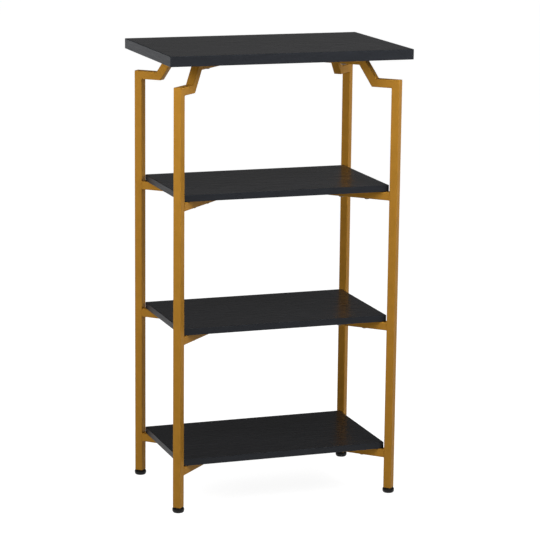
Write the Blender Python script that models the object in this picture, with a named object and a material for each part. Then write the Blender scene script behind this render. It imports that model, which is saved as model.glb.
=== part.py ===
"""Tiered shelf: four welded legs of square tube carry a thick top panel and three thinner shelves.

Each leg is one mitred run of tube in the vertical plane of its corner's diagonal: a post, a short
level step, a slanted riser and a level arm under the top panel. Three straight arms are welded to
each post and reach under the shelves. Pan head screws come up through the arms into the panels,
and a levelling foot screws into a plug in the lower end of each post.

The frame stands on z = 0 with its centre on the Z axis. The long side runs along X, the front is
towards -Y, and all lengths are in metres.
"""

import math

import bmesh
import bpy
from mathutils import Matrix, Vector

# Overall sizes
OVERALL_HEIGHT = 1.095
POST_SPACING_X = 0.540
POST_SPACING_Y = 0.326

# Panels
TOP_OVERHANG = 0.030
TOP_THICKNESS = 0.0245
SHELF_THICKNESS = 0.016
SHELF_PITCH = 0.320
LOWEST_SHELF_HEIGHT = 0.125
SHELF_CORNER_GAP = 0.0041
PANEL_EDGE_RADIUS = 0.0012
PANEL_CORNER_RADIUS = 0.003

# Square tube of the legs and arms
TUBE_SIDE = 0.020
TUBE_WALL = 0.0012
TUBE_CORNER_RADIUS = 0.0018
END_PLATE_THICKNESS = 0.0015

# Leg, in the vertical plane of its diagonal
DIAGONAL_ANGLE = math.radians(45.0)
STEP_DROP = 0.0507
STEP_LENGTH = 0.0605
RISER_ANGLE = math.radians(56.5)
ARM_REACH = 0.188

# Screws, with their distances from the post's axis
OUTER_SCREW_REACH = 0.072
INNER_SCREW_REACH = 0.140
SCREW_DIAMETER = 0.006
SCREW_BITE = 0.0105
SCREW_POINT_LENGTH = 0.003
SCREW_HEAD_DIAMETER = 0.012
SCREW_HEAD_HEIGHT = 0.0024
SCREW_SOCKET_WIDTH = 0.004
SCREW_SOCKET_DEPTH = 0.0014
PILOT_EXTRA_DEPTH = 0.0008

# Levelling foot and the plug that it screws into
PAD_DIAMETER = 0.029
PAD_HEIGHT = 0.0102
STUD_DIAMETER = 0.008
STUD_HEAD_DIAMETER = 0.016
STUD_HEAD_HEIGHT = 0.0032
STUD_HEAD_RECESS = 0.0018
STUD_POINT_LENGTH = 0.0012
STUD_HOLD = 0.010
FOOT_TRAVEL = 0.010
PLUG_FLANGE_HEIGHT = 0.0015
PLUG_FLANGE_INSET = 0.0002
PLUG_LENGTH = 0.024
PLUG_RIB_HEIGHT = 0.0025
PLUG_RIB_DEPTH = 0.0010
PLUG_RIB_COUNT = 3

# Clearances
SEAT_GAP = 0.0003
SCREW_CLEARANCE = 0.0003
STUD_CLEARANCE = 0.0003
CUT_OVERRUN = 0.002

# Screw head from its flat face to its rim: shares of the head's radius and of its height
HEAD_DOME_SHARES = ((0.78, 1.0), (0.98, 0.60))
SCREW_TIP_SHARE = 0.4

# Pad's outer side from the floor up: shares of the pad's radius and of its height
PAD_SIDE_SHARES = ((0.80, 0.0), (0.93, 0.18), (1.0, 0.48), (1.0, 0.72), (0.92, 1.0))
STUD_TIP_SHARE = 0.8

# Facets
CORNER_STEPS = 2
RING_POINTS = 4 * (CORNER_STEPS + 1)
PAD_RING_POINTS = 20
HOLE_POINTS = 12
PANEL_CORNER_STEPS = 2
EDGE_STEPS = 2
SMOOTH_ANGLE = math.radians(50.0)

# Names of the corners, with the sides of X and Y that each lies on
CORNERS = {
    "front_left": (-1, -1),
    "front_right": (1, -1),
    "back_left": (-1, 1),
    "back_right": (1, 1),
}

# Heights and plan sizes that follow from the driving sizes
TUBE_HALF = TUBE_SIDE / 2
TOP_UNDERSIDE = OVERALL_HEIGHT - TOP_THICKNESS
TOP_LENGTH = POST_SPACING_X + 2 * TOP_OVERHANG
TOP_DEPTH = POST_SPACING_Y + 2 * TOP_OVERHANG
SHELF_INSET_X = (TUBE_HALF + SHELF_CORNER_GAP) * math.cos(DIAGONAL_ANGLE)
SHELF_INSET_Y = (TUBE_HALF + SHELF_CORNER_GAP) * math.sin(DIAGONAL_ANGLE)
SHELF_LENGTH = POST_SPACING_X - 2 * SHELF_INSET_X
SHELF_DEPTH = POST_SPACING_Y - 2 * SHELF_INSET_Y
SHELF_TOPS = {
    "lower": LOWEST_SHELF_HEIGHT,
    "middle": LOWEST_SHELF_HEIGHT + SHELF_PITCH,
    "upper": LOWEST_SHELF_HEIGHT + 2 * SHELF_PITCH,
}
PLUG_BOTTOM = PAD_HEIGHT + SEAT_GAP
TUBE_END = PLUG_BOTTOM + PLUG_FLANGE_HEIGHT + SEAT_GAP
STUD_TOP = TUBE_END + FOOT_TRAVEL + STUD_HOLD
SCREW_LENGTH = TUBE_SIDE + 2 * SEAT_GAP + SCREW_BITE


def clear_scene():
    """Empties the scene, so that the shelf is all it holds."""
    for thing in list(bpy.data.objects):
        bpy.data.objects.remove(thing, do_unlink=True)


def finish(name, colour, roughness, metallic):
    """A plain Principled material."""
    material = bpy.data.materials.new(name)
    material.use_nodes = True
    shader = material.node_tree.nodes["Principled BSDF"]
    shader.inputs["Base Color"].default_value = (*colour, 1.0)
    shader.inputs["Roughness"].default_value = roughness
    shader.inputs["Metallic"].default_value = metallic
    material.diffuse_color = (*colour, 1.0)
    return material


def gold_paint(name):
    """Satin gold paint of the steel tube."""
    return finish(name, (0.40, 0.22, 0.055), 0.38, 0.85)


def black_board(name):
    """Black wood-effect face of the panels."""
    return finish(name, (0.022, 0.022, 0.025), 0.45, 0.0)


def bright_steel(name):
    """Nickel plated steel of the screws and studs."""
    return finish(name, (0.45, 0.43, 0.40), 0.30, 1.0)


def black_plastic(name):
    """Black plastic of the plugs and pads."""
    return finish(name, (0.018, 0.018, 0.018), 0.50, 0.0)


def add_object(name, mesh, material, parent=None):
    """Puts a mesh into the scene with its own material, under its parent."""
    thing = bpy.data.objects.new(name, mesh)
    bpy.context.scene.collection.objects.link(thing)
    thing.parent = parent
    if material:
        if not mesh.materials:
            mesh.materials.append(None)
        thing.material_slots[0].link = "OBJECT"
        thing.material_slots[0].material = material(name)
    return thing


def mesh_from(name, shape, smooth=True):
    """Turns a bmesh into a mesh with smooth rounds and sharp edges."""
    bmesh.ops.recalc_face_normals(shape, faces=shape.faces)
    mesh = bpy.data.meshes.new(name)
    shape.to_mesh(mesh)
    shape.free()
    if smooth:
        mesh.shade_smooth()
        mesh.set_sharp_from_angle(angle=SMOOTH_ANGLE)
    return mesh


def loft(name, rings, looped=False):
    """Skins rings of as many points each, and closes them with end faces or back on the first ring."""
    shape = bmesh.new()
    rows = [[shape.verts.new(point) for point in ring] for ring in rings]
    pairs = list(zip(rows, rows[1:]))
    if looped:
        pairs.append((rows[-1], rows[0]))
    for low, high in pairs:
        count = len(low)
        for i in range(count):
            j = (i + 1) % count
            shape.faces.new((low[i], low[j], high[j], high[i]))
    if not looped:
        shape.faces.new(rows[0])
        shape.faces.new(rows[-1])
    return mesh_from(name, shape)


def circle(radius, height, count=RING_POINTS):
    """A ring of points on a circle about Z, with a point towards each corner of a square."""
    start = math.pi / 4
    return [
        (
            radius * math.cos(start + math.tau * i / count),
            radius * math.sin(start + math.tau * i / count),
            height,
        )
        for i in range(-CORNER_STEPS // 2, count - CORNER_STEPS // 2)
    ]


def hexagon(width, height):
    """A ring of twelve points on a hexagon of this width across its flats: its corners and mid-sides."""
    flat = width / 2
    corner = flat / math.cos(math.pi / 6)
    radii = (flat, corner) * (RING_POINTS // 2)
    ring = circle(1.0, height)
    return [(x * radius, y * radius, z) for (x, y, z), radius in zip(ring, radii)]


def rounded_rectangle(length, depth, radius, steps):
    """Points of a rounded rectangle about its centre, anticlockwise from its first corner."""
    points = []
    for quarter, (across, up) in enumerate(((1, 1), (-1, 1), (-1, -1), (1, -1))):
        centre_x = across * (length / 2 - radius)
        centre_y = up * (depth / 2 - radius)
        for step in range(steps + 1):
            angle = math.pi / 2 * (quarter + step / steps)
            points.append((centre_x + radius * math.cos(angle), centre_y + radius * math.sin(angle)))
    return points


def rounded_square(side, radius):
    """Points of the tube's and plug's rounded square section."""
    return rounded_rectangle(side, side, radius, CORNER_STEPS)


def level_square(side, radius, height):
    """A rounded square ring about Z at one height."""
    return [(x, y, height) for x, y in rounded_square(side, radius)]


def mitred_rings(path, side, radius):
    """One ring of tube section at each point of a path in the XZ plane, on the mitre plane at a bend."""
    points = [Vector(point) for point in path]
    steps = [(after - before).normalized() for before, after in zip(points, points[1:])]
    normals = [Vector((-step.y, step.x)) for step in steps]
    section = rounded_square(side, radius)
    rings = []
    for i, point in enumerate(points):
        before = normals[max(i - 1, 0)]
        after = normals[min(i, len(normals) - 1)]
        mitre = (before + after).normalized()
        mitre = mitre / mitre.dot(after)
        rings.append([(point.x + mitre.x * u, v, point.y + mitre.y * u) for u, v in section])
    return rings


def tube(name, path):
    """A square tube along a path, open where the path starts and closed by a plate where it ends."""
    start = Vector(path[-2])
    end = Vector(path[-1])
    plate = end - (end - start).normalized() * END_PLATE_THICKNESS
    bore_side = TUBE_SIDE - 2 * TUBE_WALL
    bore_radius = TUBE_CORNER_RADIUS - TUBE_WALL
    bore = mitred_rings([*path[:-1], plate], bore_side, bore_radius)
    skin = mitred_rings(path, TUBE_SIDE, TUBE_CORNER_RADIUS)
    return loft(name, bore[::-1] + skin)


def leg_path():
    """The tube's centre line in the leg's own plane: distance from the post's axis, and height."""
    arm_height = TOP_UNDERSIDE - SEAT_GAP - TUBE_HALF
    step_height = TOP_UNDERSIDE - STEP_DROP - TUBE_HALF
    bend = STEP_LENGTH - TUBE_HALF + TUBE_HALF * math.tan(RISER_ANGLE / 2)
    shoulder = bend + (arm_height - step_height) / math.tan(RISER_ANGLE)
    return [
        (0, TUBE_END),
        (0, step_height),
        (bend, step_height),
        (shoulder, arm_height),
        (ARM_REACH, arm_height),
    ]


def arm_path(shelf_top):
    """The centre line of a shelf arm, from the post's inner face inwards."""
    height = shelf_top - SHELF_THICKNESS - SEAT_GAP - TUBE_HALF
    return [(TUBE_HALF + SEAT_GAP, height), (ARM_REACH, height)]


def inward(side_x, side_y):
    """The level direction from a corner's post towards the middle of the shelf."""
    return Vector((-side_x * math.cos(DIAGONAL_ANGLE), -side_y * math.sin(DIAGONAL_ANGLE), 0))


def post_axis(side_x, side_y):
    """Where a corner's post stands on the floor."""
    return Vector((side_x * POST_SPACING_X / 2, side_y * POST_SPACING_Y / 2, 0))


def corner_guide(corner):
    """An empty on a post's axis, turned so that its +X runs inwards along the diagonal."""
    side_x, side_y = CORNERS[corner]
    guide = bpy.data.objects.new("post_axis_" + corner, None)
    bpy.context.scene.collection.objects.link(guide)
    direction = inward(side_x, side_y)
    guide.location = post_axis(side_x, side_y)
    guide.rotation_euler.z = math.atan2(direction.y, direction.x)
    return guide


def panel_mesh(name, length, depth, thickness):
    """A flat board with rounded corners and lightly rounded edges, its upper face at z = 0."""
    lower = []
    for step in range(EDGE_STEPS + 1):
        angle = math.pi / 2 * step / EDGE_STEPS
        inset = PANEL_EDGE_RADIUS * (1 - math.sin(angle))
        lower.append((inset, PANEL_EDGE_RADIUS * (1 - math.cos(angle)) - thickness))
    upper = [(inset, -thickness - height) for inset, height in reversed(lower)]
    rings = []
    for inset, height in lower + upper:
        corner = PANEL_CORNER_RADIUS - inset
        outline = rounded_rectangle(length - 2 * inset, depth - 2 * inset, corner, PANEL_CORNER_STEPS)
        rings.append([(x, y, height) for x, y in outline])
    return loft(name, rings)


def hole_cutter(level, underside, reaches):
    """Round cutters for the screw holes of one level: through the arms and blind into the panel."""
    low = underside - SEAT_GAP - TUBE_SIDE - CUT_OVERRUN
    high = underside + SCREW_BITE + PILOT_EXTRA_DEPTH
    radius = SCREW_DIAMETER / 2 + SCREW_CLEARANCE
    shape = bmesh.new()
    for side_x, side_y in CORNERS.values():
        for reach in reaches:
            centre = post_axis(side_x, side_y) + inward(side_x, side_y) * reach
            centre.z = (low + high) / 2
            bmesh.ops.create_cone(
                shape,
                cap_ends=True,
                segments=HOLE_POINTS,
                radius1=radius,
                radius2=radius,
                depth=high - low,
                matrix=Matrix.Translation(centre),
            )
    cutter = add_object("cutter_" + level, mesh_from("cutter_" + level, shape, smooth=False), None)
    cutter.hide_render = True
    cutter.display_type = "WIRE"
    return cutter


def drill(thing, cutter):
    """Cuts a level's screw holes out of a piece."""
    holes = thing.modifiers.new("screw holes", "BOOLEAN")
    holes.operation = "DIFFERENCE"
    holes.solver = "EXACT"
    holes.object = cutter


def screw_mesh():
    """A pan head screw that points up, with the seat of its head at z = 0 and a hexagon socket."""
    radius = SCREW_DIAMETER / 2
    head_radius = SCREW_HEAD_DIAMETER / 2
    face = -SCREW_HEAD_HEIGHT
    rings = [
        hexagon(SCREW_SOCKET_WIDTH, face + SCREW_SOCKET_DEPTH),
        hexagon(SCREW_SOCKET_WIDTH, face),
    ]
    for radius_share, height_share in HEAD_DOME_SHARES:
        rings.append(circle(head_radius * radius_share, face * height_share))
    rings.append(circle(head_radius, 0))
    rings.append(circle(radius, 0))
    rings.append(circle(radius, SCREW_LENGTH - SCREW_POINT_LENGTH))
    rings.append(circle(radius * SCREW_TIP_SHARE, SCREW_LENGTH))
    return loft("screw", rings)


def plug_mesh():
    """A ribbed square plug with a thin flange under the tube's end and a round bore for the stud."""
    bore_radius = STUD_DIAMETER / 2 + STUD_CLEARANCE
    flange_side = TUBE_SIDE - 2 * PLUG_FLANGE_INSET
    rib_side = TUBE_SIDE - 2 * TUBE_WALL - 2 * SEAT_GAP
    core_side = rib_side - 2 * PLUG_RIB_DEPTH
    flange_top = PLUG_BOTTOM + PLUG_FLANGE_HEIGHT
    rib_pitch = (PLUG_LENGTH - PLUG_RIB_HEIGHT) / PLUG_RIB_COUNT
    rib_radius = PLUG_RIB_DEPTH / 2
    rings = [
        level_square(flange_side, TUBE_CORNER_RADIUS, PLUG_BOTTOM),
        level_square(flange_side, TUBE_CORNER_RADIUS, flange_top),
        level_square(core_side, rib_radius, flange_top),
    ]
    for i in range(PLUG_RIB_COUNT):
        low = flange_top + rib_pitch * (i + 1)
        rings.append(level_square(core_side, rib_radius, low))
        rings.append(level_square(rib_side, rib_radius, low))
        rings.append(level_square(rib_side, rib_radius, low + PLUG_RIB_HEIGHT))
        if i < PLUG_RIB_COUNT - 1:
            rings.append(level_square(core_side, rib_radius, low + PLUG_RIB_HEIGHT))
    rings.append(circle(bore_radius, flange_top + PLUG_LENGTH))
    rings.append(circle(bore_radius, PLUG_BOTTOM))
    return loft("plug", rings, looped=True)


def stud_mesh():
    """A plain stud with a round head that lies in the pad."""
    radius = STUD_DIAMETER / 2
    head_radius = STUD_HEAD_DIAMETER / 2
    head_top = STUD_HEAD_RECESS + STUD_HEAD_HEIGHT
    return loft(
        "stud",
        [
            circle(head_radius, STUD_HEAD_RECESS),
            circle(head_radius, head_top),
            circle(radius, head_top),
            circle(radius, STUD_TOP - STUD_POINT_LENGTH),
            circle(radius * STUD_TIP_SHARE, STUD_TOP),
        ],
    )


def pad_mesh():
    """A round pad with a soft upper rim, a hole for the stud and a pocket below for its head."""
    radius = PAD_DIAMETER / 2
    bore_radius = STUD_DIAMETER / 2 + STUD_CLEARANCE
    pocket_radius = STUD_HEAD_DIAMETER / 2 + STUD_CLEARANCE
    pocket_top = STUD_HEAD_RECESS + STUD_HEAD_HEIGHT + SEAT_GAP
    sides = [
        (radius * radius_share, PAD_HEIGHT * height_share)
        for radius_share, height_share in PAD_SIDE_SHARES
    ]
    profile = [
        *sides,
        (bore_radius, PAD_HEIGHT),
        (bore_radius, pocket_top),
        (pocket_radius, pocket_top),
        (pocket_radius, 0),
    ]
    return loft("pad", [circle(r, z, PAD_RING_POINTS) for r, z in profile], looped=True)


def build_panels(cutters):
    """The thick top panel and the three shelves, each with its blind screw holes."""
    top = add_object(
        "top_panel",
        panel_mesh("top_panel", TOP_LENGTH, TOP_DEPTH, TOP_THICKNESS),
        black_board,
    )
    top.location.z = OVERALL_HEIGHT
    drill(top, cutters["top"])
    for level, shelf_top in SHELF_TOPS.items():
        name = level + "_shelf"
        shelf = add_object(
            name,
            panel_mesh(name, SHELF_LENGTH, SHELF_DEPTH, SHELF_THICKNESS),
            black_board,
        )
        shelf.location.z = shelf_top
        drill(shelf, cutters[level])


def build_leg(corner, guide, cutters):
    """A corner's mitred leg and the three shelf arms welded to its post."""
    name = "leg_" + corner
    leg = add_object(name, tube(name, leg_path()), gold_paint, guide)
    drill(leg, cutters["top"])
    for level, shelf_top in SHELF_TOPS.items():
        name = level + "_arm_" + corner
        arm = add_object(name, tube(name, arm_path(shelf_top)), gold_paint, guide)
        drill(arm, cutters[level])


def build_screws(corner, guide, mesh):
    """A corner's screws: one under the top panel and two under each shelf."""
    places = [("top_screw_" + corner, INNER_SCREW_REACH, TOP_UNDERSIDE)]
    for level, shelf_top in SHELF_TOPS.items():
        underside = shelf_top - SHELF_THICKNESS
        places.append((level + "_outer_screw_" + corner, OUTER_SCREW_REACH, underside))
        places.append((level + "_inner_screw_" + corner, INNER_SCREW_REACH, underside))
    for name, reach, underside in places:
        screw = add_object(name, mesh, bright_steel, guide)
        screw.location = (reach, 0, underside - 2 * SEAT_GAP - TUBE_SIDE)


def build_foot(corner, guide, plug, stud, pad):
    """A corner's plug, fixed in the post, and the stud and pad that screw in and out of it."""
    add_object("foot_plug_" + corner, plug, black_plastic, guide)
    add_object("foot_stud_" + corner, stud, bright_steel, guide)
    add_object("foot_pad_" + corner, pad, black_plastic, guide)


def main():
    """Builds the whole shelf."""
    clear_scene()
    both = (OUTER_SCREW_REACH, INNER_SCREW_REACH)
    cutters = {"top": hole_cutter("top", TOP_UNDERSIDE, (INNER_SCREW_REACH,))}
    for level, shelf_top in SHELF_TOPS.items():
        cutters[level] = hole_cutter(level, shelf_top - SHELF_THICKNESS, both)
    build_panels(cutters)
    screw = screw_mesh()
    plug = plug_mesh()
    stud = stud_mesh()
    pad = pad_mesh()
    for corner in CORNERS:
        guide = corner_guide(corner)
        build_leg(corner, guide, cutters)
        build_screws(corner, guide, screw)
        build_foot(corner, guide, plug, stud, pad)
    bpy.context.view_layer.update()


main()
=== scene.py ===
"""Looks of the tiered shelf: finishes, fine details, floor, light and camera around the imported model."""

import logging
import math
from dataclasses import dataclass, field
from enum import Enum
from typing import Iterable, Sequence

import bmesh
import bpy
from mathutils import Matrix, Vector, noise


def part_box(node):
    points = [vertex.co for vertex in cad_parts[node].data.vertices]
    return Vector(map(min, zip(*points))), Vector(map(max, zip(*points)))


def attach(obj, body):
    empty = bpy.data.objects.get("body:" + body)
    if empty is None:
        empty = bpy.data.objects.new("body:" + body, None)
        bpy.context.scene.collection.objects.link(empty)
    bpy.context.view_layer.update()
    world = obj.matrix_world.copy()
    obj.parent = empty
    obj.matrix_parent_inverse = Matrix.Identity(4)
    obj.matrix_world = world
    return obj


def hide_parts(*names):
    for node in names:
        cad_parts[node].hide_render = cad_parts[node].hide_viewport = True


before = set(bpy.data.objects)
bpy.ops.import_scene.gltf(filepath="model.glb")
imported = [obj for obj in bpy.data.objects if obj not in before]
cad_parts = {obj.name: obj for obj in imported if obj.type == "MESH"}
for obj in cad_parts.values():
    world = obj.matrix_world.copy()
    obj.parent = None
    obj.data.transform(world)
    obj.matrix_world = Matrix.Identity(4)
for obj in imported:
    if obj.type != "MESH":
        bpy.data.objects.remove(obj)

logging.basicConfig(level=logging.INFO, format="%(message)s")
LOG = logging.getLogger("shelf")

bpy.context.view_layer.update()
FRAME_BODY = "frame"
TAU = math.tau
SMOOTH_ANGLE = math.radians(38.0)
HOLE_SIDES = 24
FULL_SPAN = (0.0, 1.0)
NOISE_SPAN = (0.3, 0.7)
WHITE = (1.0, 1.0, 1.0, 1.0)

Pair = tuple[float, float]
Triple = tuple[float, float, float]
Ring = Sequence[Sequence[float]]


class Corner(Enum):
    """The four corners of the shelf, each with its label and the signs of its X and Y."""

    FRONT_LEFT = ("front_left", -1, -1)
    FRONT_RIGHT = ("front_right", 1, -1)
    BACK_LEFT = ("back_left", -1, 1)
    BACK_RIGHT = ("back_right", 1, 1)

    @property
    def label(self) -> str:
        """Words for this corner in the nodes' names."""
        return self.value[0]

    @property
    def side_x(self) -> int:
        """Sign of this corner's X."""
        return self.value[1]

    def guide(self, spacing_x: float, spacing_y: float) -> Matrix:
        """Frame on the post's axis whose +X runs inwards along the diagonal.

        Args:
            spacing_x: Distance between the posts' axes along X.
            spacing_y: Distance between the posts' axes along Y.

        Returns:
            The frame's matrix, with its origin on the level of the pads' undersides.
        """
        _, side_x, side_y = self.value
        turn = Matrix.Rotation(math.atan2(-side_y, -side_x), 4, "Z")
        return Matrix.Translation((side_x * spacing_x / 2, side_y * spacing_y / 2, 0)) @ turn


class Level(Enum):
    """The three shelves, each with its label and the height of its upper face."""

    UPPER = ("upper", 0.765)
    MIDDLE = ("middle", 0.445)
    LOWER = ("lower", 0.125)

    @property
    def label(self) -> str:
        """Word for this shelf in the nodes' names."""
        return self.value[0]

    @property
    def top(self) -> float:
        """Height of the shelf's upper face."""
        return self.value[1]


class Grain(Enum):
    """Direction of the wood grain on a face."""

    ALONG_X = 0
    ALONG_Y = 1


class Graph:
    """Short calls for the nodes of one material or world."""

    MIX_SHARE = 0
    MIX_FIRST = 6
    MIX_SECOND = 7
    MIX_RESULT = 2

    def __init__(self, tree: bpy.types.NodeTree) -> None:
        """Keeps the tree that the nodes go into."""
        self.tree = tree

    def add(self, kind: str, **settings: object) -> bpy.types.Node:
        """Adds a node.

        Args:
            kind: Type of the node.
            **settings: Attributes of the node, by name.

        Returns:
            The new node.
        """
        node = self.tree.nodes.new(kind)
        for name, value in settings.items():
            setattr(node, name, value)
        return node

    def feed(self, socket: bpy.types.NodeSocket, value: object) -> None:
        """Links a socket to another, or gives it a number or colour.

        Args:
            socket: The socket that is fed.
            value: The other socket, number or colour.
        """
        if isinstance(value, bpy.types.NodeSocket):
            self.tree.links.new(value, socket)
        else:
            socket.default_value = value

    def math(self, operation: str, *values: object) -> bpy.types.NodeSocket:
        """Calculates with one to three values.

        Args:
            operation: Name of the calculation.
            *values: The sockets or numbers that it takes.

        Returns:
            The result.
        """
        node = self.add("ShaderNodeMath", operation=operation)
        for socket, value in zip(node.inputs, values):
            self.feed(socket, value)
        return node.outputs[0]

    def place(self) -> bpy.types.NodeSocket:
        """Position on the object, in metres."""
        return self.add("ShaderNodeTexCoord").outputs["Object"]

    def stretch(
        self,
        vector: bpy.types.NodeSocket,
        scale: Triple,
        shift: Triple = (0.0, 0.0, 0.0),
    ) -> bpy.types.NodeSocket:
        """Scales each axis of a position, then shifts it.

        Args:
            vector: The position.
            scale: Scales of its axes.
            shift: What is added after that.

        Returns:
            The new position.
        """
        node = self.add("ShaderNodeMapping")
        self.feed(node.inputs["Vector"], vector)
        node.inputs["Scale"].default_value = scale
        node.inputs["Location"].default_value = shift
        return node.outputs[0]

    def noise(
        self,
        vector: bpy.types.NodeSocket,
        scale: float = 1.0,
        detail: float = 2.0,
        rough: float = 0.5,
    ) -> bpy.types.NodeSocket:
        """Soft noise from 0 to 1.

        Args:
            vector: Position that the noise is taken at.
            scale: Number of lumps per unit of that position.
            detail: Number of finer layers.
            rough: Weight of the finer layers.

        Returns:
            The noise's value.
        """
        node = self.add("ShaderNodeTexNoise")
        self.feed(node.inputs["Vector"], vector)
        node.inputs["Scale"].default_value = scale
        node.inputs["Detail"].default_value = detail
        node.inputs["Roughness"].default_value = rough
        return node.outputs[0]

    def span(self, value: bpy.types.NodeSocket, source: Pair, target: Pair) -> bpy.types.NodeSocket:
        """Maps a value from one span to another, and holds it within that.

        Args:
            value: The value.
            source: Ends of the span that it comes from.
            target: What they become.

        Returns:
            The mapped value.
        """
        node = self.add("ShaderNodeMapRange")
        for socket, number in zip(node.inputs, (value, *source, *target)):
            self.feed(socket, number)
        return node.outputs[0]

    def between(self, share: bpy.types.NodeSocket, first: Triple, second: Triple) -> bpy.types.NodeSocket:
        """Mixes two colours.

        Args:
            share: Share of the second colour.
            first: The first colour.
            second: The second colour.

        Returns:
            The mixed colour.
        """
        node = self.add("ShaderNodeMix", data_type="RGBA")
        self.feed(node.inputs[self.MIX_SHARE], share)
        node.inputs[self.MIX_FIRST].default_value = (*first, 1.0)
        node.inputs[self.MIX_SECOND].default_value = (*second, 1.0)
        return node.outputs[self.MIX_RESULT]

    def bump(self, height: bpy.types.NodeSocket, strength: float, depth: float) -> bpy.types.NodeSocket:
        """Bends the normal by a height.

        Args:
            height: The height, in units of the depth.
            strength: How far the bend goes, from 0 to 1.
            depth: The depth, in metres.

        Returns:
            The bent normal.
        """
        node = self.add("ShaderNodeBump")
        node.inputs["Strength"].default_value = strength
        node.inputs["Distance"].default_value = depth
        self.feed(node.inputs["Height"], height)
        return node.outputs[0]


def new_material(name: str) -> tuple[bpy.types.Material, Graph, bpy.types.Node]:
    """Makes a material with a plain shader.

    Args:
        name: Name of the material.

    Returns:
        The material, its graph and its shader node.
    """
    material = bpy.data.materials.new(name)
    material.use_nodes = True
    return material, Graph(material.node_tree), material.node_tree.nodes["Principled BSDF"]


@dataclass(frozen=True)
class GoldPaint:
    """Satin gold paint with fine metal flake and a slight orange peel.

    Attributes:
        light: Colour of the brighter flakes.
        dark: Colour of the darker ones.
        rim: Tint of the gloss at low angles.
        metallic: Share of metal.
        gloss: Specular level of the clear binder.
        roughness: Lowest and highest roughness.
        flake_scale: Flakes per metre.
        flake_share: Weight of the flakes in the colour.
        mottle_scale: Soft patches per metre.
        mottle_share: Weight of the patches in the colour.
        colour_span: Values of their sum that turn fully dark and light.
        peel_scale: Lumps of the orange peel per metre.
        peel_strength: Strength of its bump.
        peel_depth: Depth of its bump.
    """

    light: Triple = (0.464, 0.221, 0.0295)
    dark: Triple = (0.395, 0.187, 0.0245)
    rim: Triple = (1.0, 0.88, 0.66)
    metallic: float = 0.20
    gloss: float = 0.05
    roughness: Pair = (0.35, 0.45)
    flake_scale: float = 1500.0
    flake_share: float = 0.55
    mottle_scale: float = 38.0
    mottle_share: float = 0.45
    colour_span: Pair = (0.36, 0.64)
    peel_scale: float = 620.0
    peel_strength: float = 0.12
    peel_depth: float = 0.0004

    def material(self, name: str) -> bpy.types.Material:
        """Makes the paint's material.

        Args:
            name: Name of the material.

        Returns:
            The material.
        """
        material, graph, shader = new_material(name)
        place = graph.place()
        flake = graph.noise(place, self.flake_scale, detail=1.0)
        mottle = graph.noise(place, self.mottle_scale, detail=4.0, rough=0.6)
        flakes = graph.math("MULTIPLY", flake, self.flake_share)
        mixed = graph.math("ADD", flakes, graph.math("MULTIPLY", mottle, self.mottle_share))
        share = graph.span(mixed, self.colour_span, FULL_SPAN)
        graph.feed(shader.inputs["Base Color"], graph.between(share, self.dark, self.light))
        graph.feed(shader.inputs["Roughness"], graph.span(flake, NOISE_SPAN, self.roughness))
        shader.inputs["Metallic"].default_value = self.metallic
        shader.inputs["Specular IOR Level"].default_value = self.gloss
        shader.inputs["Specular Tint"].default_value = (*self.rim, 1.0)
        peel = graph.noise(place, self.peel_scale)
        graph.feed(shader.inputs["Normal"], graph.bump(peel, self.peel_strength, self.peel_depth))
        return material


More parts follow.
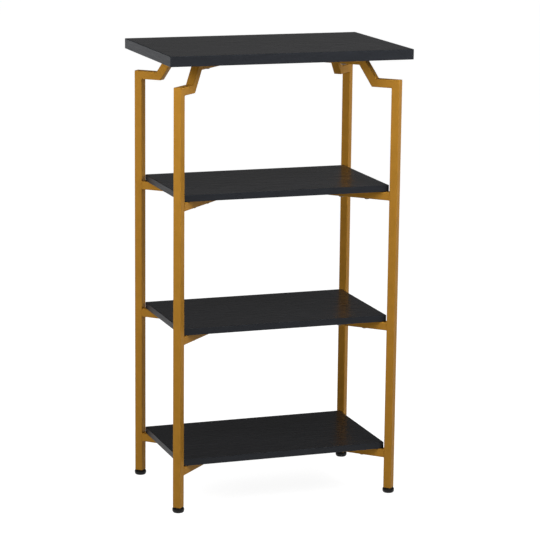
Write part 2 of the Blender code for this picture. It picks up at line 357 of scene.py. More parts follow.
@dataclass(frozen=True)
class BlackBoard:
    """Black open-pored wood veneer: growth rings, fibres and short pores along the grain.

    Each pair of scales is per metre, along the grain and across it.

    Attributes:
        grain: Direction of the grain.
        light: Colour of the bare wood.
        dark: Colour of the rings and pores.
        roughness: Lowest and highest roughness.
        gloss: Specular level.
        shift: Part of the wood that the face shows.
        sway_scales: Scales of the rings' wide bends.
        sway_turn: How far the bends carry the rings' wave, in radians.
        swirl_scales: Scales of the rings' close bends.
        swirl_turn: How far these carry it.
        fibre_scales: Scales of the fibres.
        pore_scales: Scales of the pores.
        pore_span: Values of the pores' noise where they begin and are full.
        ring_share: Weight of the rings in the colour.
        fibre_share: Weight of the fibres in the colour.
        pore_share: Weight of the pores in the colour.
        colour_span: Values of their sum that turn fully dark and light.
        relief_share: Height of the fibres, in units of the pores' depth.
        relief_strength: Strength of the relief's bump.
        relief_depth: Depth of the relief's bump.
    """

    grain: Grain = Grain.ALONG_X
    light: Triple = (0.0150, 0.0152, 0.0172)
    dark: Triple = (0.0080, 0.0082, 0.0094)
    roughness: Pair = (0.24, 0.34)
    gloss: float = 0.5
    shift: Triple = (0.0, 0.0, 0.0)
    sway_scales: Pair = (3.0, 9.0)
    sway_turn: float = 58.0
    swirl_scales: Pair = (2.2, 12.0)
    swirl_turn: float = 46.0
    fibre_scales: Pair = (14.0, 620.0)
    pore_scales: Pair = (42.0, 1500.0)
    pore_span: Pair = (0.56, 0.70)
    ring_share: float = 0.24
    fibre_share: float = 0.85
    pore_share: float = 0.45
    colour_span: Pair = (0.12, 0.92)
    relief_share: float = 0.5
    relief_strength: float = 0.045
    relief_depth: float = 0.00010

    def along(self, scales: Pair) -> Triple:
        """Turns scales along and across the grain into scales of the three axes.

        Args:
            scales: Scale along the grain, and across it.

        Returns:
            Scales of X, Y and Z.
        """
        along, across = scales
        if self.grain is Grain.ALONG_X:
            return (along, across, across)
        return (across, along, across)

    def material(self, name: str) -> bpy.types.Material:
        """Makes the board's material.

        Args:
            name: Name of the material.

        Returns:
            The material.
        """
        material, graph, shader = new_material(name)
        place = graph.stretch(graph.place(), (1.0, 1.0, 1.0), self.shift)
        sway = graph.noise(graph.stretch(place, self.along(self.sway_scales)), detail=3.0, rough=0.55)
        swirl = graph.noise(graph.stretch(place, self.along(self.swirl_scales)), detail=1.0)
        bends = graph.math("MULTIPLY", sway, self.sway_turn)
        rings = graph.math("SINE", graph.math("ADD", bends, graph.math("MULTIPLY", swirl, self.swirl_turn)))
        fibre = graph.noise(graph.stretch(place, self.along(self.fibre_scales)), detail=3.0, rough=0.6)
        pore = graph.noise(graph.stretch(place, self.along(self.pore_scales)), detail=1.0, rough=0.4)
        pit = graph.span(pore, self.pore_span, FULL_SPAN)
        lines = graph.span(rings, (-1.0, 1.0), (0.0, self.ring_share))
        tone = graph.math("ADD", lines, graph.math("MULTIPLY", fibre, self.fibre_share))
        tone = graph.math("SUBTRACT", tone, graph.math("MULTIPLY", pit, self.pore_share))
        share = graph.span(tone, self.colour_span, FULL_SPAN)
        graph.feed(shader.inputs["Base Color"], graph.between(share, self.dark, self.light))
        graph.feed(shader.inputs["Roughness"], graph.span(fibre, NOISE_SPAN, self.roughness[::-1]))
        shader.inputs["Specular IOR Level"].default_value = self.gloss
        relief = graph.math("SUBTRACT", graph.math("MULTIPLY", fibre, self.relief_share), pit)
        graph.feed(shader.inputs["Normal"], graph.bump(relief, self.relief_strength, self.relief_depth))
        return material


@dataclass(frozen=True)
class EdgeBand(BlackBoard):
    """Black edge band with the veneer's pores, duller than the veneer and a little bluer, a painted tint of
    the cool light on the front edges.
    """

    # The blue in these colours is painted cool light that falls on the front edges, not the band's own
    # colour.
    light: Triple = (0.0112, 0.0132, 0.0178)
    dark: Triple = (0.0068, 0.0080, 0.0112)
    roughness: Pair = (0.42, 0.54)
    gloss: float = 0.25


@dataclass(frozen=True)
class PlatedSteel:
    """Zinc-plated steel with fine turning marks.

    Attributes:
        light: Colour of the clean metal.
        dark: Colour of the duller patches.
        roughness: Lowest and highest roughness.
        patch_scale: Patches per metre.
        mark_scales: Scales of the turning marks along the three axes, per metre.
        mark_strength: Strength of their bump.
        mark_depth: Depth of their bump.
    """

    light: Triple = (0.62, 0.60, 0.57)
    dark: Triple = (0.40, 0.385, 0.36)
    roughness: Pair = (0.22, 0.38)
    patch_scale: float = 260.0
    mark_scales: Triple = (300.0, 300.0, 5200.0)
    mark_strength: float = 0.15
    mark_depth: float = 0.00008

    def material(self, name: str) -> bpy.types.Material:
        """Makes the metal's material.

        Args:
            name: Name of the material.

        Returns:
            The material.
        """
        material, graph, shader = new_material(name)
        place = graph.place()
        patch = graph.noise(place, self.patch_scale, detail=3.0, rough=0.6)
        mark = graph.noise(graph.stretch(place, self.mark_scales))
        graph.feed(shader.inputs["Base Color"], graph.between(patch, self.dark, self.light))
        graph.feed(shader.inputs["Roughness"], graph.span(mark, NOISE_SPAN, self.roughness))
        shader.inputs["Metallic"].default_value = 1.0
        graph.feed(shader.inputs["Normal"], graph.bump(mark, self.mark_strength, self.mark_depth))
        return material


@dataclass(frozen=True)
class DarkPlating(PlatedSteel):
    """Dark zinc plating of the screws, with the same turning marks."""

    light: Triple = (0.150, 0.138, 0.122)
    dark: Triple = (0.080, 0.073, 0.064)


@dataclass(frozen=True)
class BlackPlastic:
    """Moulded black plastic with a fine matt grain.

    Attributes:
        light: Colour of the paler patches.
        dark: Colour of the darker ones.
        roughness: Lowest and highest roughness.
        gloss: Specular level.
        patch_scale: Patches per metre.
        grain_scale: Grains per metre.
        grain_strength: Strength of the grain's bump.
        grain_depth: Depth of the grain's bump.
    """

    light: Triple = (0.0110, 0.0106, 0.0100)
    dark: Triple = (0.0055, 0.0053, 0.0050)
    roughness: Pair = (0.34, 0.50)
    gloss: float = 0.2
    patch_scale: float = 140.0
    grain_scale: float = 1900.0
    grain_strength: float = 0.25
    grain_depth: float = 0.00010

    def material(self, name: str) -> bpy.types.Material:
        """Makes the plastic's material.

        Args:
            name: Name of the material.

        Returns:
            The material.
        """
        material, graph, shader = new_material(name)
        place = graph.place()
        grain = graph.noise(place, self.grain_scale, rough=0.6)
        patch = graph.noise(place, self.patch_scale, detail=4.0, rough=0.6)
        graph.feed(shader.inputs["Base Color"], graph.between(patch, self.dark, self.light))
        graph.feed(shader.inputs["Roughness"], graph.span(patch, NOISE_SPAN, self.roughness))
        shader.inputs["Specular IOR Level"].default_value = self.gloss
        graph.feed(shader.inputs["Normal"], graph.bump(grain, self.grain_strength, self.grain_depth))
        return material


def polar(radius: float, angle: float, height: float) -> Triple:
    """Point at an angle about Z."""
    return (radius * math.cos(angle), radius * math.sin(angle), height)


def circle(radius: float, height: float, count: int) -> list[Triple]:
    """Level ring of points on a circle about Z."""
    return [polar(radius, TAU * i / count, height) for i in range(count)]


def turned_rings(profile: Iterable[Pair], count: int) -> list[Ring]:
    """Circles about Z, one for each radius and height of a profile."""
    return [circle(radius, height, count) for radius, height in profile]


def rounded_rectangle(length: float, depth: float, radius: float, steps: int) -> list[Pair]:
    """Points of a rounded rectangle about its centre.

    Args:
        length: Full size along the first axis.
        depth: Full size along the second axis.
        radius: Radius of the corners.
        steps: Number of lengths in each corner's arc.

    Returns:
        The points, anticlockwise.
    """
    points = []
    for quarter, (across, up) in enumerate(((1, 1), (-1, 1), (-1, -1), (1, -1))):
        for step in range(steps + 1):
            angle = TAU / 4 * (quarter + step / steps)
            points.append((
                across * (length / 2 - radius) + radius * math.cos(angle),
                up * (depth / 2 - radius) + radius * math.sin(angle),
            ))
    return points


def level_ring(points: Iterable[Pair], height: float) -> list[Triple]:
    """Ring of plan points at one height."""
    return [(x, y, height) for x, y in points]


def loft_shape(rings: Sequence[Ring], looped: bool = False) -> tuple[bmesh.types.BMesh, list[list]]:
    """Skins rings of as many points each.

    Args:
        rings: The rings, in order.
        looped: Whether the last ring joins the first, and no end is closed by a face.

    Returns:
        The shape and its rows of vertices.
    """
    shape = bmesh.new()
    rows = [[shape.verts.new(point) for point in ring] for ring in rings]
    pairs = list(zip(rows, rows[1:]))
    if looped:
        pairs.append((rows[-1], rows[0]))
    for low, high in pairs:
        for i in range(len(low)):
            j = (i + 1) % len(low)
            shape.faces.new((low[i], low[j], high[j], high[i]))
    if not looped:
        shape.faces.new(rows[0])
        shape.faces.new(rows[-1])
    return shape, rows


def mesh_from(name: str, shape: bmesh.types.BMesh) -> bpy.types.Mesh:
    """Turns a shape into a mesh that is smooth but for its sharp edges.

    Args:
        name: Name of the mesh.
        shape: The shape, which is used up.

    Returns:
        The mesh.
    """
    bmesh.ops.recalc_face_normals(shape, faces=shape.faces)
    mesh = bpy.data.meshes.new(name)
    shape.to_mesh(mesh)
    shape.free()
    mesh.shade_smooth()
    mesh.set_sharp_from_angle(angle=SMOOTH_ANGLE)
    return mesh


def loft(name: str, rings: Sequence[Ring], looped: bool = False) -> bpy.types.Mesh:
    """Mesh that skins rings of as many points each."""
    return mesh_from(name, loft_shape(rings, looped)[0])


def drilled(
    mesh: bpy.types.Mesh,
    centres: Iterable[Vector],
    radius: float,
    low: float,
    high: float,
) -> bpy.types.Mesh:
    """Cuts upright round holes out of a mesh.

    Args:
        mesh: The closed mesh, which is used up.
        centres: Plan positions of the holes.
        radius: Radius of the holes.
        low: Height that each hole starts at.
        high: Height that each hole ends at.

    Returns:
        The drilled mesh.
    """
    shape = bmesh.new()
    for centre in centres:
        bmesh.ops.create_cone(
            shape,
            cap_ends=True,
            segments=HOLE_SIDES,
            radius1=radius,
            radius2=radius,
            depth=high - low,
            matrix=Matrix.Translation((centre[0], centre[1], (low + high) / 2)),
        )
    cutter = bpy.data.objects.new("cutter", mesh_from("cutter", shape))
    blank = bpy.data.objects.new("blank", mesh)
    for thing in (cutter, blank):
        bpy.context.scene.collection.objects.link(thing)
    cut = blank.modifiers.new("holes", "BOOLEAN")
    cut.operation = "DIFFERENCE"
    cut.solver = "EXACT"
    cut.object = cutter
    bpy.context.view_layer.update()
    made = bpy.data.meshes.new_from_object(blank.evaluated_get(bpy.context.evaluated_depsgraph_get()))
    made.name = mesh.name
    for thing in (cutter, blank):
        used = thing.data
        bpy.data.objects.remove(thing)
        bpy.data.meshes.remove(used)
    return made


def mitred_rings(path: Sequence[Sequence[float]], side: float, radius: float, steps: int) -> list[Ring]:
    """Rings of square section along a path in the XZ plane, on the mitre plane at each bend.

    Args:
        path: Points of the centre line, as X and Z.
        side: Side of the square section.
        radius: Radius of the section's corners.
        steps: Number of lengths in each corner's arc.

    Returns:
        One ring for each point.
    """
    points = [Vector(point) for point in path]
    ways = [(after - before).normalized() for before, after in zip(points, points[1:])]
    normals = [Vector((-way.y, way.x)) for way in ways]
    section = rounded_rectangle(side, side, radius, steps)
    rings = []
    for i, point in enumerate(points):
        before = normals[max(i - 1, 0)]
        after = normals[min(i, len(normals) - 1)]
        # Lengthened, so that the tube keeps its side on both sides of the bend.
        mitre = (before + after).normalized()
        mitre = mitre / mitre.dot(after)
        rings.append([(point.x + mitre.x * u, v, point.y + mitre.y * u) for u, v in section])
    return rings


def even_path(points: Sequence[Vector], step: float, closed: bool = False) -> list[Vector]:
    """Points at even distances along a broken line.

    Args:
        points: Corners of the line.
        step: Rough distance between the new points.
        closed: Whether the line runs back to its start.

    Returns:
        The new points, without the doubled last one of a closed line.
    """
    corners = [Vector(point) for point in points]
    if closed:
        corners.append(corners[0])
    made = []
    for start, end in zip(corners, corners[1:]):
        count = max(1, round((end - start).length / step))
        made.extend(start.lerp(end, i / count) for i in range(count))
    if not closed:
        made.append(corners[-1])
    return made


@dataclass(frozen=True)
class WeldBead:
    """Bead of a hand weld, with low ripples along it.

    Attributes:
        radius: Radius of the bead.
        step: Rough distance between its rings.
        sides: Points in each ring.
        ripple_share: Height of the ripples, as a share of the radius.
        ripple_turn: How far the ripples' wave turns from ring to ring, in radians.
        uneven_share: Unevenness, as a share of the radius.
        uneven_step: Way through the noise from ring to ring.
        end_power: How suddenly the bead narrows at its ends.
        end_share: Square of the radius left at its ends, as a share of the full one's.
        aside: A direction that no bead runs in, which the rings' points are set out from.
    """

    radius: float
    step: float = 0.0006
    sides: int = 10
    ripple_share: float = 0.05
    ripple_turn: float = 2.3
    uneven_share: float = 0.14
    uneven_step: float = 0.21
    end_power: int = 8
    end_share: float = 0.05
    aside: Triple = (0.31, 0.17, 0.93)

    def mesh(self, name: str, corners: Sequence[Vector], seed: float, closed: bool = False) -> bpy.types.Mesh:
        """Mesh of the bead along a broken line.

        Args:
            name: Name of the mesh.
            corners: Corners of the line that the bead's middle follows.
            seed: Place in the noise that the bead's unevenness comes from.
            closed: Whether the bead runs round in a loop.

        Returns:
            The bead's mesh.
        """
        path = even_path(corners, self.step, closed)
        count = len(path)
        angles = [TAU * k / self.sides for k in range(self.sides)]
        rings = []
        for i, point in enumerate(path):
            before = path[i - 1] if closed or i else path[0]
            after = path[(i + 1) % count] if closed or i < count - 1 else path[-1]
            way = (after - before).normalized()
            side = way.cross(Vector(self.aside)).normalized()
            top = side.cross(way)
            uneven = noise.noise(Vector((seed, i * self.uneven_step, 0.0)))
            width = 1.0 + self.ripple_share * math.sin(i * self.ripple_turn) + self.uneven_share * uneven
            if not closed:
                from_middle = 2 * i / (count - 1) - 1
                width *= math.sqrt(max(self.end_share, 1 - from_middle ** self.end_power))
            rings.append([
                point + (side * math.cos(angle) + top * math.sin(angle)) * self.radius * width
                for angle in angles
            ])
        return loft(name, rings, looped=closed)


@dataclass(frozen=True)
class Thread:
    """Screw thread about Z that runs out at both ends.

    Attributes:
        root: Radius at the bottom of the thread.
        crest: Radius at its top.
        pitch: Rise of one turn.
        count: Points in each ring.
        rows_per_turn: Rings in each turn.
        slope: Steepness of the thread's sides, in heights of it per pitch.
        fullness: Factor that swells its sides, before its crest is cut flat.
    """

    root: float
    crest: float
    pitch: float
    count: int
    rows_per_turn: int
    slope: float = 2.4
    fullness: float = 1.15

    def rings(self, low: float, high: float) -> list[Ring]:
        """Rings of the thread.

        Args:
            low: Height that it starts at.
            high: Height that it ends at.

        Returns:
            The rings, from low to high.
        """
        rows = round((high - low) / self.pitch * self.rows_per_turn)
        rings = []
        for row in range(rows + 1):
            height = low + (high - low) * row / rows
            fade = min(1.0, (height - low) / self.pitch, (high - height) / self.pitch)
            ring = []
            for i in range(self.count):
                phase = (height / self.pitch - i / self.count) % 1.0
                rise = max(0.0, 1.0 - abs(phase - 0.5) * self.slope)
                radius = self.root + (self.crest - self.root) * min(1.0, rise * self.fullness) * fade
                ring.append(polar(radius, TAU * i / self.count, height))
            rings.append(ring)
        return rings


def place_piece(
    name: str,
    mesh: bpy.types.Mesh,
    materials: Sequence[bpy.types.Material],
    body: str,
    replaced: Sequence[str] = (),
    where: Matrix | None = None,
) -> None:
    """Puts a finished piece on the body that it moves with.

    Args:
        name: Name of the piece.
        mesh: Its mesh.
        materials: Its materials, in the order of the mesh's slots.
        body: Body that it rides on.
        replaced: Nodes that it stands for.
        where: Its place, if its mesh isn't in place already.
    """
    piece = bpy.data.objects.new(name, mesh)
    bpy.context.scene.collection.objects.link(piece)
    if not mesh.materials:
        for material in materials:
            mesh.materials.append(material)
    if where is not None:
        piece.matrix_world = where
    even = piece.modifiers.new("even normals", "WEIGHTED_NORMAL")
    even.keep_sharp = True
    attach(piece, body)
    if replaced:
        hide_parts(*replaced)
    LOG.info("%s on %s, %d faces", name, body, len(mesh.polygons))


@dataclass(frozen=True)
class Plan:
    """Sizes that several sub-assemblies share.

    Attributes:
        spacing_x: Distance between the posts' axes along X.
        spacing_y: Distance between the posts' axes along Y.
        height: Height of the top panel's upper face.
        top_length: Size of the top panel along X.
        top_depth: Size of the top panel along Y.
        top_thickness: Thickness of the top panel.
        shelf_thickness: Thickness of a shelf.
        tube_side: Side of the square tube.
        seat_gap: Gap between pieces that touch.
        arm_reach: Distance of an arm's inner end from the post's axis.
        outer_screw: Distance of the outer screw from the post's axis.
        inner_screw: Distance of the inner screw from the post's axis.
        screw_radius: Radius of the screws' shanks.
        screw_bite: Depth of the screws in the boards.
        hole_clearance: Gap between a hole's wall and what goes through it.
        overrun: How far a cut starts outside what it cuts.
        tube_cut: Length of the cut for a hole through a tube.
    """

    spacing_x: float = 0.540
    spacing_y: float = 0.326
    height: float = 1.095
    top_length: float = 0.600
    top_depth: float = 0.386
    top_thickness: float = 0.0245
    shelf_thickness: float = 0.016
    tube_side: float = 0.020
    seat_gap: float = 0.0003
    arm_reach: float = 0.188
    outer_screw: float = 0.072
    inner_screw: float = 0.140
    screw_radius: float = 0.003
    screw_bite: float = 0.0105
    hole_clearance: float = 0.0003
    overrun: float = 0.002
    tube_cut: float = 0.026

    @property
    def top_underside(self) -> float:
        """Height of the top panel's lower face."""
        return self.height - self.top_thickness

    @property
    def hole_radius(self) -> float:
        """Radius of the screws' holes."""
        return self.screw_radius + self.hole_clearance

    def guide(self, corner: Corner) -> Matrix:
        """Frame on a corner's post axis."""
        return corner.guide(self.spacing_x, self.spacing_y)

    def hole_centres(self, reaches: Sequence[float]) -> list[Vector]:
        """Plan positions of the screws at these distances from every post."""
        return [self.guide(corner) @ Vector((reach, 0, 0)) for corner in Corner for reach in reaches]


@dataclass
class Board:
    """A veneered board with an edge band all round and blind screw holes below.

    Attributes:
        plan: The shared sizes.
        node: CAD node that the board stands for.
        length: Size along X.
        depth: Size along Y.
        thickness: Thickness.
        top: Height of the upper face.
        reaches: Distances of its screws from each post's axis.
        shift: Part of the wood that it shows.
        corner_radius: Radius of the corners in plan.
        least_radius: Smallest radius that an inset leaves of it.
        arris_radius: Radius of the long edges.
        band: Thickness of the edge band.
        seam: Width of the hairline between veneer and band.
        hole_spare: Depth of a hole beyond its screw's end.
        corner_steps: Lengths in each corner's arc.
        arris_steps: Lengths in each long edge's arc.
    """

    plan: Plan
    node: str
    length: float
    depth: float
    thickness: float
    top: float
    reaches: tuple[float, ...]
    shift: Triple
    corner_radius: float = 0.003
    least_radius: float = 0.0004
    arris_radius: float = 0.0012
    band: float = 0.0016
    seam: float = 0.00012
    hole_spare: float = 0.0008
    corner_steps: int = 6
    arris_steps: int = 5

    def outline(self, inset: float, height: float) -> Ring:
        """Ring of the board's outline.

        Args:
            inset: How far it is drawn in.
            height: Its height.

        Returns:
            The ring.
        """
        length = self.length - 2 * inset
        depth = self.depth - 2 * inset
        radius = max(self.corner_radius - inset, self.least_radius)
        return level_ring(rounded_rectangle(length, depth, radius, self.corner_steps), height)

    def core(self) -> bpy.types.Mesh:
        """Mesh of the veneered board within its edge band.

        Returns:
            The drilled mesh.
        """
        low = self.top - self.thickness
        inset = self.band + self.seam / 2
        ease = self.seam
        mesh = loft(self.node + "_veneer", [
            self.outline(inset + ease, low),
            self.outline(inset, low + ease),
            self.outline(inset, self.top - ease),
            self.outline(inset + ease, self.top),
        ])
        high = low + self.plan.screw_bite + self.hole_spare
        centres = self.plan.hole_centres(self.reaches)
        return drilled(mesh, centres, self.plan.hole_radius, low - self.plan.overrun, high)

    def edge_band(self) -> bpy.types.Mesh:
        """Mesh of the band round the board, rounded along its outer edges.

        Returns:
            The mesh, with the faces of the board's two ends in its second slot.
        """
        low = self.top - self.thickness
        inset = self.band - self.seam / 2
        radius = self.arris_radius
        turns = [TAU / 4 * step / self.arris_steps for step in range(self.arris_steps + 1)]
        rings = [self.outline(inset, self.top - 2 * self.seam), self.outline(inset, low + 2 * self.seam)]
        rings.append(self.outline(inset - self.seam, low))
        rings += [
            self.outline(radius * (1 - math.sin(turn)), low + radius * (1 - math.cos(turn)))
            for turn in turns
        ]
        rings += [
            self.outline(radius * (1 - math.cos(turn)), self.top - radius * (1 - math.sin(turn)))
            for turn in turns
        ]
        rings.append(self.outline(inset - self.seam, self.top))
        mesh = loft(self.node + "_edge_band", rings, looped=True)
        for face in mesh.polygons:
            face.material_index = int(abs(face.center.x) > self.length / 2 - 2 * self.band)
        return mesh

    def build(self) -> None:
        """Builds and dresses the board."""
        veneer = BlackBoard(Grain.ALONG_X, shift=self.shift).material(self.node + "_veneer")
        long_band = EdgeBand(Grain.ALONG_X, shift=self.shift).material(self.node + "_long_band")
        end_band = EdgeBand(Grain.ALONG_Y, shift=self.shift).material(self.node + "_end_band")
        bands = [long_band, end_band]
        place_piece(self.node + "_veneer", self.core(), [veneer], FRAME_BODY, [self.node])
        place_piece(self.node + "_edge_band", self.edge_band(), bands, FRAME_BODY)


@dataclass
class Tube:
    """Square steel tube along a path in a corner's diagonal plane.

    Attributes:
        side: Side of the section.
        wall: Thickness of the wall.
        radius: Radius of the section's outer corners.
        steps: Number of lengths in each corner's arc.
        plate: Thickness of the plate that closes the far end.
        ease: Width of the eased edges at the bends and ends.
        ease_steps: Lengths in the eased edges at the bends.
    """

    side: float = 0.020
    wall: float = 0.0012
    radius: float = 0.0018
    steps: int = 6
    plate: float = 0.0015
    ease: float = 0.0005
    ease_steps: int = 4

    def mesh(self, name: str, path: Sequence[Pair]) -> bpy.types.Mesh:
        """Mesh of the tube, open at its start and closed at its end.

        Args:
            name: Name of the mesh.
            path: Points of the centre line, as distance from the post's axis and height.

        Returns:
            The tube's mesh, in the corner's own frame.
        """
        start = Vector(path[0])
        end = Vector(path[-1])
        first_way = (Vector(path[1]) - start).normalized()
        last_way = (end - Vector(path[-2])).normalized()
        bore = mitred_rings(
            [*path[:-1], end - last_way * self.plate],
            self.side - 2 * self.wall,
            self.radius - self.wall,
            self.steps,
        )
        skin = mitred_rings(
            [start + first_way * self.ease, *path[1:-1], end - last_way * self.ease],
            self.side,
            self.radius,
            self.steps,
        )
        narrow = self.side - 2 * self.ease
        lip = mitred_rings([start, path[1]], narrow, self.radius - self.ease, self.steps)[0]
        cap = mitred_rings([path[-2], end], narrow, self.radius - self.ease, self.steps)[1]
        shape, rows = loft_shape([*bore[::-1], lip, *skin, cap])
        # The bore's rings, the lip and the skin's first ring come before the bends.
        first_bend = len(bore) + 2
        edges = []
        for row in rows[first_bend:first_bend + len(path) - 2]:
            ring = set(row)
            for vert in row:
                edges.extend(edge for edge in vert.link_edges if edge.other_vert(vert) in ring)
        bends = list(set(edges))
        if bends:
            bmesh.ops.bevel(
                shape,
                geom=bends,
                offset=self.ease,
                segments=self.ease_steps,
                profile=0.5,
                affect="EDGES",
                clamp_overlap=True,
            )
        return mesh_from(name, shape)


@dataclass
class Leg:
    """A corner's necked leg: post, step, riser and the arm under the top, with its welds.

    Attributes:
        plan: The shared sizes.
        corner: Corner that it stands at.
        tube: The tube that it is made of.
        low_end: Height of the tube's open lower end.
        step_drop: Distance of the step's upper face below the top panel.
        step_length: Length of the step.
        riser_angle: Slope of the riser.
        bead: The weld beads in its bends.
        bead_inset: Distance of a bead's ends from the tube's side faces.
        seed_step: Way through the noise for each letter of the corner's label.
    """

    plan: Plan
    corner: Corner
    tube: Tube
    low_end: float = 0.0123
    step_drop: float = 0.0507
    step_length: float = 0.0605
    riser_angle: float = math.radians(56.5)
    bead: WeldBead = WeldBead(radius=0.0009)
    bead_inset: float = 0.0006
    seed_step: float = 7.3

    def path(self) -> list[Pair]:
        """Centre line of the leg.

        Returns:
            Its points, as distance from the post's axis and height.
        """
        half = self.tube.side / 2
        arm = self.plan.top_underside - self.plan.seat_gap - half
        step = self.plan.top_underside - self.step_drop - half
        bend = self.step_length - half + half * math.tan(self.riser_angle / 2)
        shoulder = bend + (arm - step) / math.tan(self.riser_angle)
        return [(0, self.low_end), (0, step), (bend, step), (shoulder, arm), (self.plan.arm_reach, arm)]

    def inner_bends(self) -> list[Vector]:
        """Points in the leg's plane where two tubes meet in a hollow corner.

        Returns:
            One point for each bend.
        """
        half = self.tube.side / 2
        _, (_, step), (bend, _), (shoulder, arm), _ = self.path()
        lean = half * math.tan(self.riser_angle / 2)
        return [
            Vector((half, 0, step - half)),
            Vector((bend - lean, 0, step + half)),
            Vector((shoulder + lean, 0, arm - half)),
        ]

    def build(self, paint: bpy.types.Material) -> None:
        """Builds and dresses the leg.

        Args:
            paint: Finish of the tube and welds.
        """
        guide = self.plan.guide(self.corner)
        node = "leg_" + self.corner.label
        mesh = self.tube.mesh(node + "_tube", self.path())
        mesh.transform(guide)
        high = self.plan.top_underside + self.plan.overrun
        centre = guide @ Vector((self.plan.inner_screw, 0, 0))
        mesh = drilled(mesh, [centre], self.plan.hole_radius, high - self.plan.tube_cut, high)
        place_piece(node + "_tube", mesh, [paint], FRAME_BODY, [node])
        reach = Vector((0, self.tube.side / 2 - self.bead_inset, 0))
        for number, bend in enumerate(self.inner_bends(), start=1):
            name = f"{node}_bend_weld_{number}"
            seed = number + self.seed_step * len(self.corner.label)
            weld = self.bead.mesh(name, [bend - reach, bend + reach], seed)
            weld.transform(guide)
            place_piece(name, weld, [paint], FRAME_BODY)


@dataclass
class ShelfArm:
    """An arm from a post inwards under a shelf, with the weld round its root.

    Attributes:
        plan: The shared sizes.
        corner: Corner of its post.
        level: Shelf that it carries.
        tube: The tube that it is made of.
        bead: The weld bead.
        bead_inset: How much narrower than the tube the bead's line is.
        bead_steps: Lengths in each corner's arc of that line.
    """

    plan: Plan
    corner: Corner
    level: Level
    tube: Tube
    bead: WeldBead = WeldBead(radius=0.0008)
    bead_inset: float = 0.0006
    bead_steps: int = 2

    @property
    def height(self) -> float:
        """Height of the arm's centre line."""
        return self.level.top - self.plan.shelf_thickness - self.plan.seat_gap - self.tube.side / 2

    def build(self, paint: bpy.types.Material) -> None:
        """Builds and dresses the arm.

        Args:
            paint: Finish of the tube and weld.
        """
        guide = self.plan.guide(self.corner)
        node = f"{self.level.label}_arm_{self.corner.label}"
        root = self.tube.side / 2 + self.plan.seat_gap
        mesh = self.tube.mesh(node + "_tube", [(root, self.height), (self.plan.arm_reach, self.height)])
        mesh.transform(guide)
        low = self.height - self.tube.side / 2 - self.plan.overrun
        reaches = (self.plan.outer_screw, self.plan.inner_screw)
        centres = [guide @ Vector((reach, 0, 0)) for reach in reaches]
        mesh = drilled(mesh, centres, self.plan.hole_radius, low, low + self.plan.tube_cut)
        place_piece(node + "_tube", mesh, [paint], FRAME_BODY, [node])
        side = self.tube.side - self.bead_inset
        middle = self.tube.side / 2 + self.plan.seat_gap / 2
        outline = rounded_rectangle(side, side, self.tube.radius, self.bead_steps)
        ring = [Vector((middle, v, self.height + u)) for u, v in outline]
        name = node + "_root_weld"
        weld = self.bead.mesh(name, ring, len(node) + self.height, closed=True)
        weld.transform(guide)
        place_piece(name, weld, [paint], FRAME_BODY)


